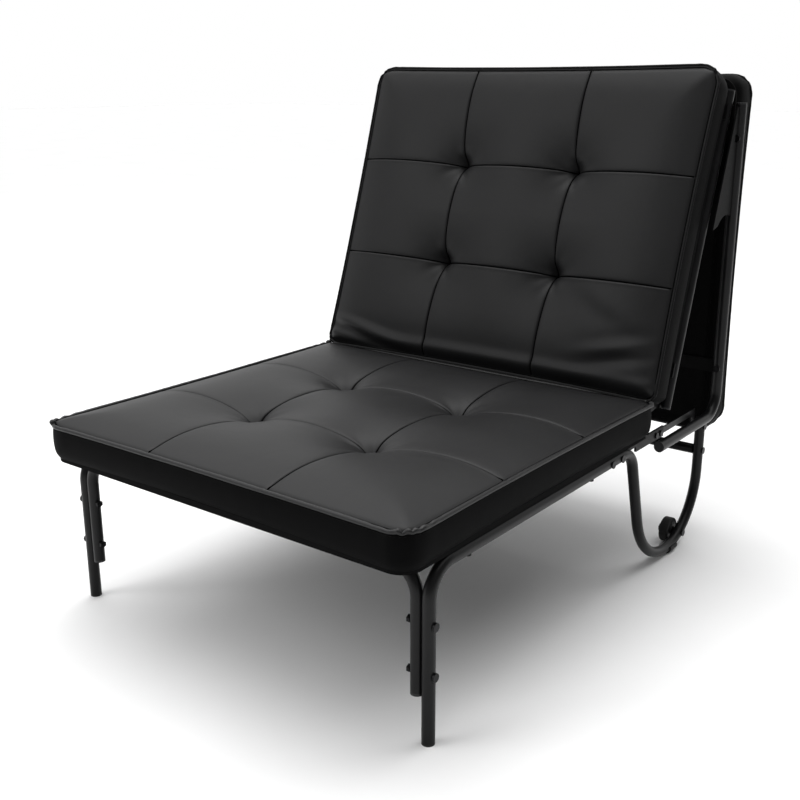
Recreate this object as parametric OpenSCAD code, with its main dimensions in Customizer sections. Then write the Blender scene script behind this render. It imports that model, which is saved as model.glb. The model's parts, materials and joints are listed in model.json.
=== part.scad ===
// Futon sofa bed, one seat wide. A steel tube base carries the seat. The back panel
// is hinged behind the seat, and the rear panel is folded down behind it on the top
// hinge. Folded out, the three panels lie in line and the rear panel's tubes stand
// on the floor as the far legs.
// Millimetres, Z up, the seat front towards -Y, drawn as a sofa.

/* [Part to show] */

// Which part to draw, or all of them

/* [Panels] */

// Width of each padded panel
panel_width = 740; // [600:5:900]

// Depth of the seat, front seam to back edge
seat_depth = 700; // [550:5:800]

// Length of the back panel
back_length = 583; // [450:1:700]

// Length of the rear panel
rear_length = 664; // [500:1:800]

// Height of a cushion's side, underside to piping
side_height = 60; // [40:1:90]

// Rise of the cushion top above its piping
crown = 18; // [5:1:40]

// Plan radius of the outer cushion corners
corner_radius = 38; // [10:1:80]

// Plan radius of the corners where the seat and the back meet
meeting_radius = 14; // [8:1:80]

// Lean of the back from upright, in degrees
back_lean = 18.5; // [5:0.5:30]

// Thickness of the plywood boards
board_thick = 10; // [6:1:18]

// How far a board's edge lies inside its cushion cover
board_inset = 6; // [2:1:20]

/* [Steel tube] */

// Outside diameter of all the tubes
tube_d = 19; // [16:0.5:25]

// Wall of the tubes
tube_wall = 1.5; // [1:0.1:2.5]

// Centreline bend radius of the legs
bend_radius = 45; // [35:1:70]

// Height of the rails under the seat, to the tube's axis
rail_z = 257; // [200:1:300]

// Distance of the rails and U loops from the centre
rail_x = 358.5; // [340:0.5:365]

// Distance of the back panel's tubes from the centre
back_tube_x = 360.9; // [345:0.1:365]

// Distance of the rear panel's leg tubes from the centre
leg_tube_x = 380.5; // [370:0.5:395]

// Height of the folded rear legs, to the tube's axis
leg_z = 249; // [240:1:270]

// Front legs behind the seat's front seam
front_leg_y = 62; // [40:1:100]

// Lower end of the short legs
short_leg_z = 74; // [40:1:120]

/* [Rear U loops] */

// Back of the U loop, to the tube's axis
loop_back_y = 948; // [900:1:1000]

// Underside run of the U loop, height of the axis
loop_low_z = 12.2; // [9:0.1:20]

// Bend radius at the front of the loop
loop_front_radius = 140; // [50:1:144]

// Bend radius at the back of the loop
loop_back_radius = 123; // [60:1:140]

// Top of the loop's back arm
arm_top_z = 235; // [200:1:245]

// Height of the rear cross tube
cross_tube_z = 173; // [120:1:200]

/* [Wheels] */

// Tyre diameter
wheel_d = 48; // [40:1:60]

// Wheel width
wheel_width = 20; // [12:1:30]

// Distance of the axles behind the seat's front seam
axle_y = 879; // [850:1:910]

/* [Hinges] */

// Seat hinge axis behind the seat's front seam
hinge_y = 711.7; // [705:0.1:760]

// Seat hinge axis above the floor
hinge_z = 307.5; // [280:0.1:320]

// Diameter of the hinge pins
pin_d = 8; // [6:0.5:10]

// Running clearance round a pin, on the radius
pin_clear = 0.08; // [0.02:0.01:0.1]

/* [Hidden] */

$fn = 48;
eps = 0.02;

// The drawing's Y zero is the middle of the whole sofa's depth
centre_y = 525.4;

tube_r = tube_d / 2;
bore_r = tube_r - tube_wall;
panel_half = panel_width / 2;
seat_under = rail_z + tube_r;
seat_seam = seat_under + side_height;

// Strap between each panel board and its tubes
strap_thick = 4;
strap_wide = 25;
tube_off = side_height + strap_thick + tube_r;

// Back panel's lower front seam
back_y = 701.8;
back_z = seat_seam + 5.3;

// Fold hinge, in the back panel's own length and depth
fold_s = back_length + 9;
fold_y = back_y + fold_s * sin(back_lean) + tube_off * cos(back_lean);
fold_z = back_z + fold_s * cos(back_lean) - tube_off * sin(back_lean);

// Rear panel hangs below the fold hinge
rear_under_y = fold_y + tube_r + strap_thick;
rear_top_z = fold_z - 1;
leg_drop = 251.1;
leg_top_z = fold_z - 52;
back_tube_end = back_length - 24;
leg_end_y = fold_y - leg_drop;

// U loop: the front arm leans, the back arm is upright
arm_lean = atan(7 / 24);
arm_foot_y = 716;
loop_turn = 90 - arm_lean;
rail_corner_y = arm_foot_y - (rail_z - loop_low_z) * tan(arm_lean);
rail_bend_run = bend_radius * tan(loop_turn / 2);
low_bend_run = loop_front_radius * tan(loop_turn / 2);
loop_bend_y = loop_back_y - loop_back_radius;
loop_bend_z = loop_low_z + loop_back_radius;
axle_rise = loop_back_radius * cos(asin((axle_y - loop_bend_y) / loop_back_radius));
axle_z = loop_bend_z - axle_rise;

// Fasteners
bolt_r = 3;
bolt_hole_r = 3.2;
screw_r = 2.5;
screw_hole_r = 2.7;
head_r = 6.5;
head_high = 1.8;
nut_r = 6;
nut_high = 5;
leg_bolt_high = 178;
leg_bolt_low = 104;
short_leg_x = rail_x - tube_d;
bracket_x = 343;
bracket_thick = 4;
bracket_bolt_front = 560;
bracket_bolt_back = 595;
tie_thick = 3;
tie_wide = 12;
tie_front_y = 772;
tie_mid_y = 790;
tie_z = 246;
tie_back_z = 222;
fold_ear_x = 298;
fold_ear_gap = 0.4;
fold_ear_r = 8;
leaf_thick = 3;
strap_arm_x = back_tube_x - tube_r - bracket_thick;
wheel_x = 337.5;
axle_r = 4;
rear_bolt_low = 338;
rear_bolt_high = 760;
back_bolt_low = 60;
back_bolt_high = 520;
screw_x = 200;

// --- helpers ---

module on_side(x) {
  translate([x, -centre_y, 0])
    rotate([90, 0, 90])
      children();
}

module run(u1, v1, u2, v2, r) {
  translate([u1, v1, 0])
    rotate([0, 0, atan2(v2 - v1, u2 - u1)])
      rotate([0, 90, 0])
        cylinder(h = norm([u2 - u1, v2 - v1]), r = r);
}

module elbow(u, v, radius, from, turn, r) {
  translate([u, v, 0])
    rotate([0, 0, from])
      rotate_extrude(angle = turn)
        translate([radius, 0])
          circle(r = r);
}

// A cylinder along X between two distances from the centre
module x_rod(x1, x2, y, z, r) {
  translate([x1, y - centre_y, z])
    rotate([0, 90, 0])
      cylinder(h = x2 - x1, r = r);
}

module x_hex(x1, x2, y, z, r) {
  translate([x1, y - centre_y, z])
    rotate([0, 90, 0])
      cylinder(h = x2 - x1, r = r, $fn = 6);
}

module z_rod(x, y, z1, z2, r) {
  translate([x, y - centre_y, z1])
    cylinder(h = z2 - z1, r = r);
}

module y_rod(x, z, y1, y2, r) {
  translate([x, y1 - centre_y, z])
    rotate([-90, 0, 0])
      cylinder(h = y2 - y1, r = r);
}

module both_sides() {
  children();
  mirror([1, 0, 0])
    children();
}

// The back panel's own frame: X across, Y along its length, Z out of its face
module back_frame() {
  translate([0, back_y - centre_y, back_z])
    rotate([90 - back_lean, 0, 0])
      children();
}

// The rear panel's own frame: X across, Y up, Z from its underside backwards
module rear_frame() {
  translate([0, rear_under_y - centre_y, rear_top_z])
    rotate([-90, 0, 0])
      children();
}

// A slab with round corners, one radius at its near end and one at its far end
module round_slab(width, depth, high, near, far) {
  translate([-width / 2, near, 0])
    cube([width, depth - near - far, high]);
  translate([-width / 2 + near, 0, 0])
    cube([width - 2 * near, near, high]);
  translate([-width / 2 + far, depth - far, 0])
    cube([width - 2 * far, far, high]);
  for (x = [-1, 1]) {
    translate([x * (width / 2 - near), near, 0])
      cylinder(h = high, r = near);
    translate([x * (width / 2 - far), depth - far, 0])
      cylinder(h = high, r = far);
  }
}

module board(width, depth, near, far) {
  wide = width - 2 * board_inset;
  long = depth - 2 * board_inset;
  translate([0, board_inset, 0])
    round_slab(wide, long, board_thick, near - board_inset, far - board_inset);
}

// A cushion: upright sides, a sloping shoulder and a flat crown, hollowed for its board
module cushion(width, depth, near, far) {
  shoulder = 70;
  difference() {
    union() {
      round_slab(width, depth, side_height, near, far);
      hull() {
        for (x = [-1, 1]) {
          translate([x * (width / 2 - near), near, side_height - 1])
            cylinder(h = 1, r = near, $fn = 32);
          translate([x * (width / 2 - far), depth - far, side_height - 1])
            cylinder(h = 1, r = far, $fn = 32);
        }
        for (x = [-width / 2 + shoulder + 20, width / 2 - shoulder - 20])
          for (y = [shoulder + 20, depth - shoulder - 20])
            translate([x, y, side_height])
              cylinder(h = crown, r = 20, $fn = 32);
      }
    }
    board(width, depth, near, far);
  }
}

// --- base ---

module side_shape(r, extra) {
  run(front_leg_y, 3 - extra, front_leg_y, rail_z - bend_radius, r);
  elbow(front_leg_y + bend_radius, rail_z - bend_radius, bend_radius, 90, 90, r);
  run(front_leg_y + bend_radius, rail_z, rail_corner_y - rail_bend_run, rail_z, r);
  elbow(rail_corner_y - rail_bend_run, rail_z - bend_radius, bend_radius, 90 - loop_turn, loop_turn, r);
  run(
    rail_corner_y + rail_bend_run * sin(arm_lean),
    rail_z - rail_bend_run * cos(arm_lean),
    arm_foot_y - low_bend_run * sin(arm_lean),
    loop_low_z + low_bend_run * cos(arm_lean),
    r
  );
  elbow(
    arm_foot_y + low_bend_run,
    loop_low_z + loop_front_radius,
    loop_front_radius,
    270 - loop_turn,
    loop_turn,
    r
  );
  run(arm_foot_y + low_bend_run, loop_low_z, loop_bend_y, loop_low_z, r);
  elbow(loop_bend_y, loop_bend_z, loop_back_radius, 270, 90, r);
  run(loop_back_y, loop_bend_z, loop_back_y, arm_top_z + extra, r);
}

module side_tube() {
  color("#26262a")
    difference() {
      on_side(rail_x)
        side_shape(tube_r, 0);
      on_side(rail_x)
        side_shape(bore_r, 1);
      for (z = [leg_bolt_low, leg_bolt_high])
        x_rod(rail_x - 15, rail_x + 15, front_leg_y, z, bolt_hole_r);
      for (y = [bracket_bolt_front, bracket_bolt_back])
        x_rod(rail_x - 15, rail_x + 15, y, rail_z, bolt_hole_r);
      x_rod(rail_x - 15, rail_x + 15, loop_back_y, cross_tube_z, bolt_hole_r);
      x_rod(rail_x - 15, rail_x + 15, loop_back_y, tie_back_z, bolt_hole_r);
      x_rod(rail_x - 15, rail_x + 15, axle_y, axle_z, axle_r + 0.2);
      for (y = [150, 500])
        z_rod(rail_x, y, rail_z - 15, rail_z + 15, screw_hole_r);
    }
}

module side_tube_right() {
  side_tube();
}

module side_tube_left() {
  mirror([1, 0, 0])
    side_tube();
}

// Drawn in the front plane: U is X and V is Z
module staple_shape(r, extra) {
  run(-short_leg_x, short_leg_z - extra, -short_leg_x, rail_z - bend_radius, r);
  elbow(-short_leg_x + bend_radius, rail_z - bend_radius, bend_radius, 90, 90, r);
  run(-short_leg_x + bend_radius, rail_z, short_leg_x - bend_radius, rail_z, r);
  elbow(short_leg_x - bend_radius, rail_z - bend_radius, bend_radius, 0, 90, r);
  run(short_leg_x, short_leg_z - extra, short_leg_x, rail_z - bend_radius, r);
}

module front_staple() {
  color("#26262a")
    difference() {
      translate([0, front_leg_y - centre_y, 0])
        rotate([90, 0, 0])
          staple_shape(tube_r, 0);
      translate([0, front_leg_y - centre_y, 0])
        rotate([90, 0, 0])
          staple_shape(bore_r, 1);
      for (z = [leg_bolt_low, leg_bolt_high])
        both_sides()
          x_rod(short_leg_x - 15, short_leg_x + 15, front_leg_y, z, bolt_hole_r);
    }
}

module rear_cross_tube() {
  color("#26262a")
    difference() {
      x_rod(-rail_x + tube_r, rail_x - tube_r, loop_back_y, cross_tube_z, tube_r);
      x_rod(-rail_x + tube_r + 20, rail_x - tube_r - 20, loop_back_y, cross_tube_z, bore_r);
      both_sides()
        x_rod(rail_x - tube_r - 19, rail_x, loop_back_y, cross_tube_z, bolt_r);
    }
}

module hinge_bracket() {
  color("#8d8f92")
    difference() {
      union() {
        translate([bracket_x, 545 - centre_y, rail_z - 9.5])
          cube([bracket_thick, 722 - 545, 18.5]);
        translate([bracket_x, 702.8 - centre_y, rail_z - 9.5])
          cube([bracket_thick, 17.8, hinge_z - rail_z + 9.5]);
        translate([bracket_x, 690 - centre_y, tie_z - 8])
          cube([bracket_thick, 112, 19.5]);
        x_rod(bracket_x, bracket_x + bracket_thick, hinge_y, hinge_z, 8.9);
        for (y = [bracket_bolt_front, bracket_bolt_back])
          x_rod(bracket_x, rail_x - tube_r, y, rail_z, 8);
      }
      for (y = [bracket_bolt_front, bracket_bolt_back])
        x_rod(bracket_x - 5, bracket_x + 15, y, rail_z, bolt_hole_r);
      x_rod(bracket_x - 5, bracket_x + 15, hinge_y, hinge_z, pin_d / 2);
      for (y = [tie_front_y, tie_mid_y])
        x_rod(bracket_x - 5, bracket_x + 15, y, tie_z, bolt_hole_r);
      on_side(rail_x)
        run(500, rail_z, 620, rail_z, tube_r);
    }
}

module hinge_bracket_right() {
  hinge_bracket();
}

module hinge_bracket_left() {
  mirror([1, 0, 0])
    hinge_bracket();
}

module tie_bar() {
  color("#26262a")
    difference() {
      union() {
        translate([bracket_x - tie_thick, tie_front_y - 12 - centre_y, tie_z - tie_wide / 2])
          cube([tie_thick, loop_back_y - tie_front_y + 20, tie_wide]);
        translate([bracket_x - tie_thick, loop_back_y - 8 - centre_y, tie_back_z])
          cube([tie_thick, 16, tie_z - tie_back_z]);
        x_rod(bracket_x - tie_thick, bracket_x, loop_back_y, tie_back_z, 8.5);
      }
      for (y = [tie_front_y, tie_mid_y])
        x_rod(bracket_x - 10, bracket_x + 10, y, tie_z, bolt_hole_r);
      x_rod(bracket_x - 10, bracket_x + 10, loop_back_y, tie_back_z, bolt_hole_r);
    }
}

module tie_bar_right() {
  tie_bar();
}

module tie_bar_left() {
  mirror([1, 0, 0])
    tie_bar();
}

module seat_board() {
  color("#8a6f4d")
    difference() {
      translate([0, -centre_y, seat_under])
        board(panel_width, seat_depth, corner_radius, meeting_radius);
      for (y = [150, 500])
        both_sides()
          z_rod(rail_x, y, seat_under - 1, seat_under + 8, screw_r);
    }
}

module seat_cushion() {
  color("#3a3a3e")
    translate([0, -centre_y, seat_under])
      cushion(panel_width, seat_depth, corner_radius, meeting_radius);
}

module front_foot_plugs() {
  color("#151517")
    both_sides() {
      z_rod(rail_x, front_leg_y, 0, 3, tube_r);
      z_rod(rail_x, front_leg_y, 3 - eps, 22, bore_r);
    }
}

module short_leg_plugs() {
  color("#151517")
    both_sides() {
      z_rod(short_leg_x, front_leg_y, short_leg_z - 4, short_leg_z, tube_r);
      z_rod(short_leg_x, front_leg_y, short_leg_z - eps, short_leg_z + 14, bore_r);
    }
}

module arm_plugs() {
  color("#151517")
    both_sides() {
      z_rod(rail_x, loop_back_y, arm_top_z, arm_top_z + 3, tube_r);
      z_rod(rail_x, loop_back_y, arm_top_z - 10, arm_top_z + eps, bore_r);
    }
}

module glide_pads() {
  color("#151517")
    both_sides()
      difference() {
        on_side(rail_x)
          run(822, loop_low_z, 850, loop_low_z, loop_low_z);
        on_side(rail_x)
          side_shape(tube_r, 0);
        translate([rail_x - 20, 815 - centre_y, loop_low_z + 3])
          cube([40, 40, 20]);
      }
}

module leg_bolts() {
  color("#b9babd")
    both_sides()
      for (z = [leg_bolt_low, leg_bolt_high]) {
        x_rod(short_leg_x - tube_r - 6, rail_x + tube_r, front_leg_y, z, bolt_r);
        x_rod(rail_x + tube_r - eps, rail_x + tube_r + 3, front_leg_y, z, head_r);
      }
}

module leg_nuts() {
  color("#b9babd")
    both_sides()
      for (z = [leg_bolt_low, leg_bolt_high])
        difference() {
          x_hex(short_leg_x - tube_r - nut_high, short_leg_x - tube_r, front_leg_y, z, nut_r);
          x_rod(short_leg_x - tube_r - nut_high - 1, short_leg_x, front_leg_y, z, bolt_r);
        }
}

module cross_tube_bolts() {
  color("#b9babd")
    both_sides() {
      x_rod(rail_x - tube_r - 18, rail_x + tube_r, loop_back_y, cross_tube_z, bolt_r);
      x_rod(rail_x + tube_r - eps, rail_x + tube_r + head_high, loop_back_y, cross_tube_z, head_r);
    }
}

module bracket_bolts() {
  color("#b9babd")
    both_sides()
      for (y = [bracket_bolt_front, bracket_bolt_back]) {
        x_rod(bracket_x - 2, rail_x + tube_r, y, rail_z, bolt_r);
        x_rod(bracket_x - 3, bracket_x, y, rail_z, head_r);
        x_rod(rail_x + tube_r - eps, rail_x + tube_r + head_high, y, rail_z, head_r);
      }
}

module tie_bolts() {
  color("#b9babd")
    both_sides() {
      for (y = [tie_front_y, tie_mid_y]) {
        x_rod(bracket_x - tie_thick - 2, bracket_x + bracket_thick + 1, y, tie_z, bolt_r);
        x_rod(bracket_x - tie_thick - 3, bracket_x - tie_thick, y, tie_z, 5.5);
        x_rod(bracket_x + bracket_thick, bracket_x + bracket_thick + 2.5, y, tie_z, 5.5);
      }
      x_rod(bracket_x - tie_thick - 2, rail_x + tube_r, loop_back_y, tie_back_z, bolt_r);
      x_rod(bracket_x - tie_thick - 3, bracket_x - tie_thick, loop_back_y, tie_back_z, 5.5);
      x_rod(rail_x + tube_r - eps, rail_x + tube_r + head_high, loop_back_y, tie_back_z, head_r);
    }
}

module tie_spacers() {
  color("#151517")
    both_sides()
      difference() {
        x_rod(bracket_x, rail_x, loop_back_y, tie_back_z, 6);
        x_rod(bracket_x - 1, rail_x + 1, loop_back_y, tie_back_z, bolt_hole_r);
        on_side(rail_x)
          run(loop_back_y, 150, loop_back_y, 300, tube_r);
      }
}

module axle_bolts() {
  color("#b9babd")
    both_sides() {
      x_rod(wheel_x - wheel_width / 2 - 7, rail_x + tube_r, axle_y, axle_z, axle_r);
      x_rod(wheel_x + wheel_width / 2 + 0.3, rail_x - tube_r, axle_y, axle_z, 7);
      x_rod(rail_x + tube_r - eps, rail_x + tube_r + head_high, axle_y, axle_z, head_r);
    }
}

module axle_nuts() {
  color("#b9babd")
    both_sides()
      difference() {
        x_hex(wheel_x - wheel_width / 2 - 6.3, wheel_x - wheel_width / 2 - 0.3, axle_y, axle_z, 7.5);
        x_rod(wheel_x - wheel_width / 2 - 8, wheel_x, axle_y, axle_z, axle_r);
      }
}

module seat_screws() {
  color("#b9babd")
    both_sides()
      for (y = [150, 500]) {
        z_rod(rail_x, y, rail_z - tube_r, seat_under + 8, screw_r);
        z_rod(rail_x, y, rail_z - tube_r - 2, rail_z - tube_r + eps, 5);
      }
}

module seat_hinge_pins() {
  color("#b9babd")
    both_sides() {
      x_rod(bracket_x, strap_arm_x + bracket_thick + 0.4, hinge_y, hinge_z, pin_d / 2);
      x_rod(bracket_x - 3, bracket_x, hinge_y, hinge_z, 7);
      x_rod(strap_arm_x + bracket_thick + 0.4, strap_arm_x + bracket_thick + 3.4, hinge_y, hinge_z, 7);
    }
}

// --- wheels ---

module wheel_hub() {
  color("#2c2c30")
    difference() {
      union() {
        x_rod(wheel_x - wheel_width / 2 + 2, wheel_x + wheel_width / 2 - 2, axle_y, axle_z, wheel_d / 2 - 4);
        x_rod(wheel_x - wheel_width / 2, wheel_x + wheel_width / 2, axle_y, axle_z, 8);
      }
      x_rod(wheel_x - 20, wheel_x + 20, axle_y, axle_z, axle_r + pin_clear);
    }
}

module wheel_hub_right() {
  wheel_hub();
}

module wheel_hub_left() {
  mirror([1, 0, 0])
    wheel_hub();
}

module tyre() {
  color("#151517")
    translate([wheel_x, axle_y - centre_y, axle_z])
      rotate([0, 90, 0])
        rotate_extrude()
          difference() {
            union() {
              translate([wheel_d / 2 - 8, -wheel_width / 2 + 1])
                square([5, wheel_width - 2]);
              translate([wheel_d / 2 - 8, -wheel_width / 2 + 4])
                square([8, wheel_width - 8]);
              for (v = [-wheel_width / 2 + 4, wheel_width / 2 - 4])
                translate([wheel_d / 2 - 3, v])
                  circle(r = 3);
            }
            translate([wheel_d / 2 - 9, -wheel_width])
              square([5, 2 * wheel_width]);
          }
}

module tyre_right() {
  tyre();
}

module tyre_left() {
  mirror([1, 0, 0])
    tyre();
}

// --- back panel ---

module back_tube() {
  color("#26262a")
    difference() {
      back_frame()
        translate([back_tube_x, -6, -tube_off])
          rotate([-90, 0, 0])
            difference() {
              cylinder(h = back_tube_end + 6, r = tube_r);
              translate([0, 0, -1])
                cylinder(h = back_tube_end + 8, r = bore_r);
            }
      back_frame()
        for (s = [back_bolt_low, back_bolt_high])
          translate([back_tube_x, s, -tube_off - 20])
            cylinder(h = 40, r = screw_hole_r);
    }
}

module back_tube_right() {
  back_tube();
}

module back_tube_left() {
  mirror([1, 0, 0])
    back_tube();
}

module back_straps() {
  color("#26262a")
    back_frame()
      for (s = [back_bolt_low, back_bolt_high])
        difference() {
          translate([-back_tube_x - 7, s - strap_wide / 2, -side_height - strap_thick])
            cube([2 * back_tube_x + 14, strap_wide, strap_thick]);
          for (x = [-back_tube_x, back_tube_x])
            translate([x, s, -side_height - 20])
              cylinder(h = 40, r = screw_hole_r);
          for (x = [-screw_x, screw_x])
            translate([x, s, -side_height - 20])
              cylinder(h = 40, r = screw_hole_r);
        }
}

module hinge_straps() {
  arm_s = 12;
  arm_y = back_y + arm_s * sin(back_lean) + tube_off * cos(back_lean);
  arm_z = back_z + arm_s * cos(back_lean) - tube_off * sin(back_lean);
  color("#8d8f92")
    both_sides()
      difference() {
        union() {
          hull() {
            x_rod(strap_arm_x, strap_arm_x + bracket_thick, hinge_y, hinge_z, 9, $fn = 32);
            x_rod(strap_arm_x, strap_arm_x + bracket_thick, arm_y, arm_z, 12, $fn = 32);
          }
          x_rod(strap_arm_x, back_tube_x - bore_r - 0.5, arm_y, arm_z, 7);
        }
        x_rod(strap_arm_x - 5, strap_arm_x + 10, hinge_y, hinge_z, pin_d / 2 + pin_clear);
        back_frame()
          translate([strap_arm_x - 5, -0.4, -side_height - 0.4])
            cube([20, 40, 60]);
        back_frame()
          translate([back_tube_x, -6, -tube_off])
            rotate([-90, 0, 0])
              cylinder(h = 60, r = tube_r);
      }
}

module back_board() {
  color("#8a6f4d")
    back_frame()
      difference() {
        translate([0, 0, -side_height])
          board(panel_width, back_length, meeting_radius, corner_radius);
        for (s = [back_bolt_low, back_bolt_high])
          for (x = [-back_tube_x, -screw_x, screw_x, back_tube_x])
            translate([x, s, -side_height - 1])
              cylinder(h = 9, r = screw_r);
        for (x = [-326, 326])
          for (d = [25, 47])
            translate([x, fold_s - d, -side_height - 1])
              cylinder(h = 8, r = screw_r);
      }
}

module back_cushion() {
  color("#3a3a3e")
    back_frame()
      translate([0, 0, -side_height])
        cushion(panel_width, back_length, meeting_radius, corner_radius);
}

module back_tube_plugs() {
  color("#151517")
    both_sides()
      back_frame() {
        translate([back_tube_x, -9, -tube_off])
          rotate([-90, 0, 0])
            cylinder(h = 3, r = tube_r);
        translate([back_tube_x, -6 - eps, -tube_off])
          rotate([-90, 0, 0])
            cylinder(h = 10, r = bore_r);
        translate([back_tube_x, back_tube_end, -tube_off])
          rotate([-90, 0, 0])
            cylinder(h = 3, r = tube_r);
        translate([back_tube_x, back_tube_end - 10, -tube_off])
          rotate([-90, 0, 0])
            cylinder(h = 10 + eps, r = bore_r);
      }
}

module back_bolts() {
  color("#b9babd")
    back_frame()
      for (s = [back_bolt_low, back_bolt_high])
        for (x = [-back_tube_x, back_tube_x])
          translate([x, s, -tube_off - tube_r - 2]) {
            cylinder(h = tube_d + strap_thick + 10, r = screw_r);
            cylinder(h = 2 + eps, r = 5);
          }
}

module back_screws() {
  color("#b9babd")
    back_frame()
      for (s = [back_bolt_low, back_bolt_high])
        for (x = [-screw_x, screw_x])
          translate([x, s, -side_height - strap_thick - 2]) {
            cylinder(h = strap_thick + 10, r = screw_r);
            cylinder(h = 2, r = 5);
          }
}

// One leaf of a fold hinge, lying on a board with its pivot above the panel's end.
// X across, Y from the pivot into the panel, Z away from the board
module fold_leaf(x, from, hole_r) {
  difference() {
    union() {
      translate([312 - 20, from, 0])
        cube([40, 38, leaf_thick]);
      translate([x, from, 0])
        cube([bracket_thick, 30, strap_thick + tube_r + 7]);
      translate([x, 0, strap_thick + tube_r - 7])
        cube([bracket_thick, from + 5, 14]);
      translate([x, 0, strap_thick + tube_r])
        rotate([0, 90, 0])
          cylinder(h = bracket_thick, r = fold_ear_r);
    }
    translate([x - 1, 0, strap_thick + tube_r])
      rotate([0, 90, 0])
        cylinder(h = bracket_thick + 2, r = hole_r);
    for (d = [8, 30])
      translate([326, from + d, -1])
        cylinder(h = 10, r = screw_r);
  }
}

module leaf_screws(from) {
  for (d = [8, 30])
    translate([326, from + d, -7]) {
      cylinder(h = leaf_thick + 9, r = screw_r);
      translate([0, 0, leaf_thick + 7])
        cylinder(h = 2, r = 4.5);
    }
}

module back_leaf_frame() {
  back_frame()
    translate([0, fold_s, -side_height])
      rotate([180, 0, 0])
        children();
}

module rear_leaf_frame() {
  translate([0, rear_under_y - centre_y, fold_z])
    rotate([90, 0, 0])
      mirror([0, 1, 0])
        children();
}

module fold_leaves_back() {
  color("#26262a")
    both_sides()
      back_leaf_frame()
        fold_leaf(fold_ear_x, 17, pin_d / 2);
}

module fold_bolts() {
  far = fold_ear_x + 2 * bracket_thick + 2 * fold_ear_gap;
  color("#b9babd")
    both_sides() {
      x_rod(fold_ear_x - 4, far + 5, fold_y, fold_z, pin_d / 2);
      x_rod(fold_ear_x - 4, fold_ear_x, fold_y, fold_z, 6.5);
    }
}

module fold_nuts() {
  far = fold_ear_x + 2 * bracket_thick + 2 * fold_ear_gap;
  color("#b9babd")
    both_sides()
      difference() {
        x_hex(far, far + 4, fold_y, fold_z, 7);
        x_rod(far - 1, far + 6, fold_y, fold_z, pin_d / 2);
      }
}

module back_leaf_screws() {
  color("#b9babd")
    both_sides()
      back_leaf_frame()
        leaf_screws(17);
}

// --- rear panel ---

module leg_shape(r, extra) {
  run(fold_y, leg_top_z + extra, fold_y, leg_z + bend_radius, r);
  elbow(fold_y - bend_radius, leg_z + bend_radius, bend_radius, 270, 90, r);
  run(leg_end_y + 4 - extra, leg_z, fold_y - bend_radius, leg_z, r);
}

module leg_tube() {
  color("#26262a")
    difference() {
      on_side(leg_tube_x)
        leg_shape(tube_r, 0);
      on_side(leg_tube_x)
        leg_shape(bore_r, 1);
      for (z = [rear_bolt_low, rear_bolt_high])
        y_rod(leg_tube_x, z, fold_y - 15, fold_y + 15, bolt_hole_r);
    }
}

module leg_tube_right() {
  leg_tube();
}

module leg_tube_left() {
  mirror([1, 0, 0])
    leg_tube();
}

module rear_straps() {
  color("#26262a")
    for (z = [rear_bolt_low, rear_bolt_high])
      difference() {
        translate([-leg_tube_x - 8, fold_y + tube_r - centre_y, z - strap_wide / 2])
          cube([2 * leg_tube_x + 16, strap_thick, strap_wide]);
        for (x = [-leg_tube_x, leg_tube_x])
          y_rod(x, z, fold_y, fold_y + 20, bolt_hole_r);
        for (x = [-screw_x, screw_x])
          y_rod(x, z, fold_y, fold_y + 20, screw_hole_r);
      }
}

// Fills the wedge between the leg tube and the back panel's tube, with a scooped lower edge
module gusset() {
  top_z = fold_z - 56;
  low_front = fold_z - 264;
  low_back = fold_z - 241;
  color("#34353a")
    difference() {
      on_side(leg_tube_x - 1.5)
        linear_extrude(3)
          polygon([
            [fold_y, top_z],
            [fold_y - 56 * tan(back_lean), top_z],
            [fold_y - 264 * tan(back_lean), low_front],
            [fold_y, low_back]
          ]);
      on_side(leg_tube_x - 5)
        translate([fold_y - 32, low_front - 24, 0])
          cylinder(h = 10, r = 46);
      on_side(leg_tube_x)
        leg_shape(tube_r, 0);
      y_rod(leg_tube_x, rear_bolt_high, fold_y - 20, fold_y, head_r + 0.5);
    }
}

module gusset_right() {
  gusset();
}

module gusset_left() {
  mirror([1, 0, 0])
    gusset();
}

module fold_leaves_rear() {
  color("#26262a")
    both_sides()
      rear_leaf_frame()
        fold_leaf(fold_ear_x + bracket_thick + fold_ear_gap, 9, pin_d / 2 + pin_clear);
}

module rear_leaf_screws() {
  color("#b9babd")
    both_sides()
      rear_leaf_frame()
        leaf_screws(9);
}

module rear_board() {
  color("#8a6f4d")
    difference() {
      rear_frame()
        board(panel_width, rear_length, corner_radius, corner_radius);
      for (z = [rear_bolt_low, rear_bolt_high])
        for (x = [-screw_x, screw_x])
          y_rod(x, z, rear_under_y - 1, rear_under_y + 8, screw_r);
      for (x = [-326, 326])
        for (d = [17, 39])
          y_rod(x, fold_z - d, rear_under_y - 1, rear_under_y + 7, screw_r);
    }
}

module rear_cushion() {
  color("#3a3a3e")
    rear_frame()
      cushion(panel_width, rear_length, corner_radius, corner_radius);
}

module leg_plugs() {
  color("#151517")
    both_sides() {
      y_rod(leg_tube_x, leg_z, leg_end_y, leg_end_y + 4, tube_r);
      y_rod(leg_tube_x, leg_z, leg_end_y + 4 - eps, leg_end_y + 20, bore_r);
      z_rod(leg_tube_x, fold_y, leg_top_z, leg_top_z + 3, tube_r);
      z_rod(leg_tube_x, fold_y, leg_top_z - 10, leg_top_z + eps, bore_r);
    }
}

module rear_bolts() {
  color("#b9babd")
    for (x = [-leg_tube_x, leg_tube_x])
      for (z = [rear_bolt_low, rear_bolt_high]) {
        y_rod(x, z, fold_y - tube_r, rear_under_y + 6, bolt_r);
        y_rod(x, z, fold_y - tube_r - 3, fold_y - tube_r + eps, head_r);
      }
}

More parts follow.
